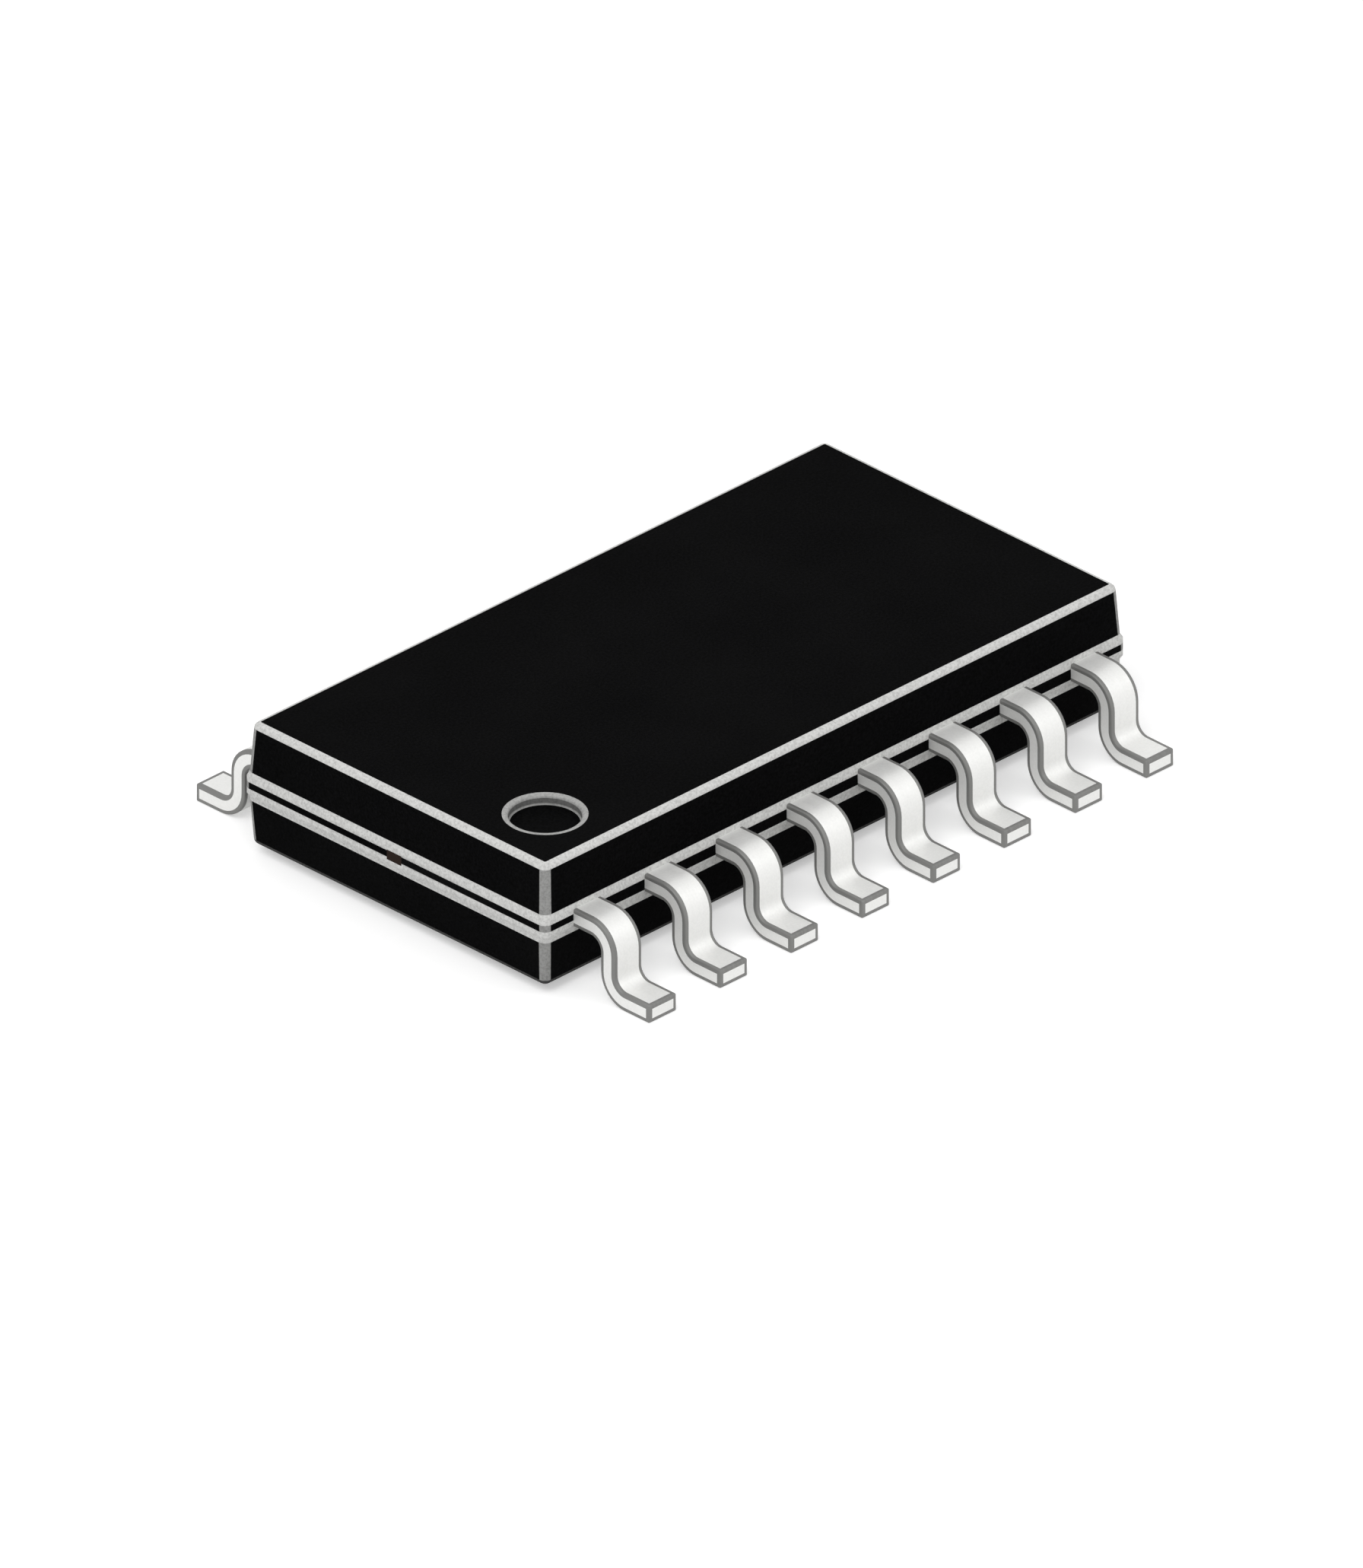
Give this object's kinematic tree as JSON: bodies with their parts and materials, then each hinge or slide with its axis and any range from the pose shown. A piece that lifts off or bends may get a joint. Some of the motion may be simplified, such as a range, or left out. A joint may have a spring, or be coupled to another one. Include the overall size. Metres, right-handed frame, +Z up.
{
  "type": "small-outline integrated circuit package",
  "caption": "Flat black moulded chip package with gull-wing leads along both long sides and a round dimple in one top corner.",
  "frame": {"origin": "middle of the part, on the plane that the feet stand on", "axes": "+X along the long side of the moulding, away from lead 1's end; -Y towards the row that starts with lead 1; +Z up, out of the top face"},
  "size_m": [0.0104, 0.0082, 0.0019],
  "materials": {
    "moulding_compound": "black epoxy with mineral filler, moulded with a fine matt texture",
    "lead_metal": "copper alloy strip with a bright matt tin plate",
    "frame_copper": "bare copper alloy strip, dulled at its cut ends",
    "die_glue": "silver-filled epoxy",
    "silicon": "polished silicon",
    "bond_gold": "drawn gold wire"
  },
  "bodies": {
    "root": {"mould_body": "moulding_compound", "die_pad": "frame_copper", "die_glue": "die_glue", "silicon_die": "silicon", "lead_1": "lead_metal", "lead_2": "lead_metal", "lead_3": "lead_metal", "lead_4": "lead_metal", "lead_5": "lead_metal", "lead_6": "lead_metal", "lead_7": "lead_metal", "lead_8": "lead_metal", "lead_9": "lead_metal", "lead_10": "lead_metal", "lead_11": "lead_metal", "lead_12": "lead_metal", "lead_13": "lead_metal", "lead_14": "lead_metal", "lead_15": "lead_metal", "lead_16": "lead_metal", "bond_wire_1": "bond_gold", "bond_wire_2": "bond_gold", "bond_wire_3": "bond_gold", "bond_wire_4": "bond_gold", "bond_wire_5": "bond_gold", "bond_wire_6": "bond_gold", "bond_wire_7": "bond_gold", "bond_wire_8": "bond_gold", "bond_wire_9": "bond_gold", "bond_wire_10": "bond_gold", "bond_wire_11": "bond_gold", "bond_wire_12": "bond_gold", "bond_wire_13": "bond_gold", "bond_wire_14": "bond_gold", "bond_wire_15": "bond_gold", "bond_wire_16": "bond_gold"}
  },
  "joints": []
}
